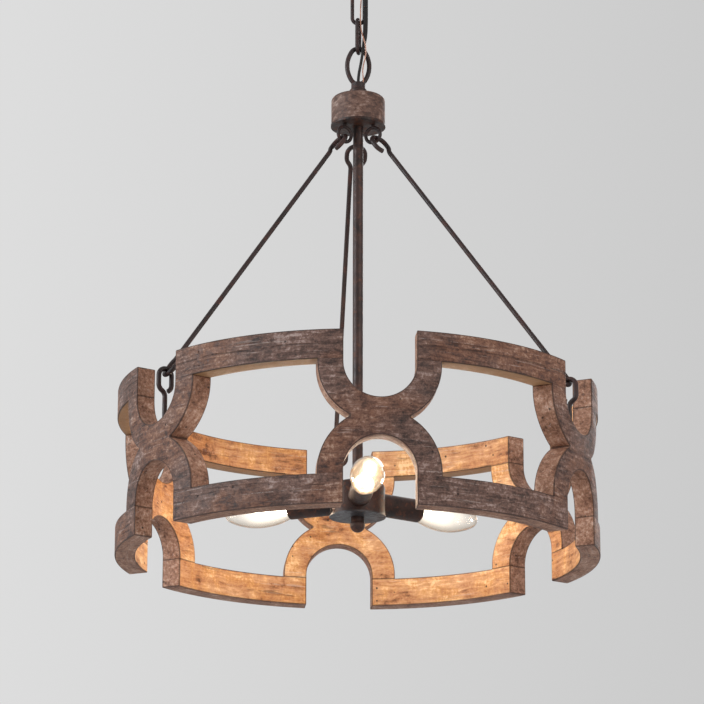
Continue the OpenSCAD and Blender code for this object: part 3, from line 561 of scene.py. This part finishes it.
dress(rust_metal, "canopy_shell", "canopy_collar", "cap_collar", "stem_tube", "finial")
dress(wire_metal, "canopy_loop", "chain_link_1", "chain_link_2", "chain_link_3", "hang_loop", "cap_eyes",
      "rod_right", "rod_back", "rod_left", "ring_hooks")
dress(hub_metal, "cap_plate", "hub_cup", "socket_cover_1", "socket_cover_2", "socket_cover_3")
dress(iron_metal, "hub_cover")
dress(zinc_metal, "mounting_strap", "canopy_nipple", "strap_nut", "cap_nut", "hub_nut", "socket_nuts")
dress(shell_metal, "bulb_cap_1", "bulb_cap_2", "bulb_cap_3")
dress(ceramic_material(), "lampholder_1", "lampholder_2", "lampholder_3")
dress(filament_material(), "bulb_filament_1", "bulb_filament_2", "bulb_filament_3")
dress(cap_material(), "wood_cap")
for number in (1, 2, 3):
    glass_piece(number)

# Ring: the CAD pieces with their free edges broken and darkened. Edges along a glued seam stay sharp.

WELD, FLAT, EDGE_FROM, SHARP_FROM = 2e-5, math.radians(0.5), math.radians(35), math.radians(30)
EDGE_BREAK = 0.0011
MEAN_RADIUS = 0.24
FIRST_SHIFT, NEXT_SHIFT = {"c": 0.0, "t": 2.3, "b": 4.1}, 0.57  # sets the grain of the pieces apart


def wood_piece(node, made, number, is_rail):
    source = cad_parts[node]
    mesh = bmesh.new()
    mesh.from_mesh(source.data)
    bmesh.ops.remove_doubles(mesh, verts=mesh.verts, dist=WELD)
    bmesh.ops.dissolve_limit(mesh, angle_limit=FLAT, verts=mesh.verts, edges=mesh.edges)
    crosses = [number - 1, number] if is_rail else [number - 1]
    sides = [Vector((math.cos(math.radians(60 * c)), math.sin(math.radians(60 * c)), 0)) for c in crosses]
    if is_rail:
        for across in sides:
            for edge_at in (ARM, -ARM):
                bmesh.ops.bisect_plane(mesh, geom=mesh.verts[:] + mesh.edges[:] + mesh.faces[:],
                                       plane_co=across * edge_at, plane_no=across)
    picked = []
    for e in mesh.edges:
        if len(e.link_faces) != 2 or e.calc_face_angle(0) < EDGE_FROM:
            continue
        a, b = e.verts[0].co, e.verts[1].co
        middle = (a + b) / 2
        on_seam = all(abs(abs(v.z - RING_Z) - SEAM) < WELD for v in (a, b))
        if on_seam and (not is_rail or any(abs(middle.dot(s)) < ARM + 1e-4 for s in sides)):
            continue
        picked.append(e)
    bmesh.ops.bevel(mesh, geom=picked, offset=EDGE_BREAK, offset_type="OFFSET", segments=2, profile=0.6,
                    affect="EDGES", clamp_overlap=False, material=1)
    azimuth = math.radians(60 * (number - 1) + (30 if is_rail else 0))
    shift = FIRST_SHIFT[node[0]] + NEXT_SHIFT * number
    grain = mesh.loops.layers.uv.new("grain")
    for f in mesh.faces:
        f.smooth = True
        for corner in f.loops:
            x, y, z = corner.vert.co
            angle = (math.atan2(x, -y) - azimuth + math.pi) % (2 * math.pi) - math.pi
            corner[grain].uv = (MEAN_RADIUS * angle + shift, z)
    data = bpy.data.meshes.new(node + "_wood")
    mesh.to_mesh(data)
    mesh.free()
    data.materials.append(made)
    data.materials.append(edge_wood)
    data.set_sharp_from_angle(angle=SHARP_FROM)
    piece = bpy.data.objects.new(node + "_wood", data)
    scene.collection.objects.link(piece)
    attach(piece, "ring")
    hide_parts(node)


for number in range(1, 7):
    wood_piece("cross_%d" % number, cross_wood, number, False)
    wood_piece("top_rail_%d" % number, rail_wood, number, True)
    wood_piece("bottom_rail_%d" % number, rail_wood, number, True)

# Stage: a grey studio, a pale floor far below, and soft lamps

FLOOR_Z, FLOOR_HALF, FLOOR_SHOWN = -4.0, 40.0, 0.6


def shown_directly(tree):
    """1 for rays from the camera and those that metal and glass pass on, 0 for the rest."""
    ray = add(tree, "ShaderNodeLightPath").outputs
    return math_node(tree, "MAXIMUM", ray["Is Camera Ray"], math_node(
        tree, "MAXIMUM", ray["Is Glossy Ray"], ray["Is Transmission Ray"]))


world = bpy.data.worlds.new("studio")
scene.world = world
world.use_nodes = True
sky = world.node_tree
sky.nodes.clear()
sky_coords = add(sky, "ShaderNodeTexCoord").outputs["Generated"]
direction = add(sky, "ShaderNodeSeparateXYZ", {0: sky_coords}).outputs[0]
# painted shade: the backdrop that the camera sees is lighter on the left and darker towards the right
backdrop_painted_falloff = ramp(sky, step(sky, direction, -0.02, 0.19), [
    (0.0, srgb(221, 221, 221)), (1.0, srgb(203, 203, 203))])
seen = add(sky, "ShaderNodeBackground", {"Color": backdrop_painted_falloff, "Strength": 1.0})
lit = add(sky, "ShaderNodeBackground", {"Color": (0.95, 0.97, 1.0, 1), "Strength": 0.5})
add(sky, "ShaderNodeOutputWorld", {"Surface": add(sky, "ShaderNodeMixShader", {
    0: shown_directly(sky), 1: lit.outputs[0], 2: seen.outputs[0]}).outputs[0]})

floor_mesh = bmesh.new()
bmesh.ops.create_grid(floor_mesh, x_segments=8, y_segments=8, size=FLOOR_HALF)
floor_data = bpy.data.meshes.new("floor")
floor_mesh.to_mesh(floor_data)
floor_mesh.free()
floor = bpy.data.objects.new("floor", floor_data)
floor.location = (0, 0, FLOOR_Z)
scene.collection.objects.link(floor)
floor_made, floor_tree = material("floor_pale")
tint = noise(floor_tree, add(floor_tree, "ShaderNodeTexCoord").outputs["Object"], 3.0, 2.0)
floor_shade = add(floor_tree, "ShaderNodeBsdfDiffuse", {
    "Color": ramp(floor_tree, tint, [(0.3, grey(0.82)), (0.7, grey(0.86))])})
floor_glow = add(floor_tree, "ShaderNodeEmission", {"Color": srgb(214, 214, 214), "Strength": 1.0})
floor_seen = math_node(floor_tree, "MULTIPLY", FLOOR_SHOWN, shown_directly(floor_tree))
surface(floor_tree, add(floor_tree, "ShaderNodeMixShader", {
    0: floor_seen, 1: floor_shade.outputs[0], 2: floor_glow.outputs[0]}).outputs[0])
floor_data.materials.append(floor_made)


def soft_lamp(name, at, aim, size, power, color=(1, 1, 1)):
    data = bpy.data.lights.new(name, "AREA")
    data.shape = "SQUARE"
    data.size = size
    data.energy = power
    data.color = color
    lamp = bpy.data.objects.new(name, data)
    lamp.location = at
    lamp.rotation_euler = (Vector(aim) - Vector(at)).to_track_quat("-Z", "Y").to_euler()
    scene.collection.objects.link(lamp)


middle_of_ring = (0, 0, RING_Z)
soft_lamp("key", (-2.7, -0.7, 0.2), middle_of_ring, 1.6, 66, (0.86, 0.95, 1.0))
soft_lamp("fill", (2.0, -2.2, -0.2), middle_of_ring, 1.8, 38, (1.0, 0.96, 0.92))
soft_lamp("rim", (1.2, 2.4, 0.5), middle_of_ring, 1.4, 26)

scene.view_settings.view_transform = "Standard"
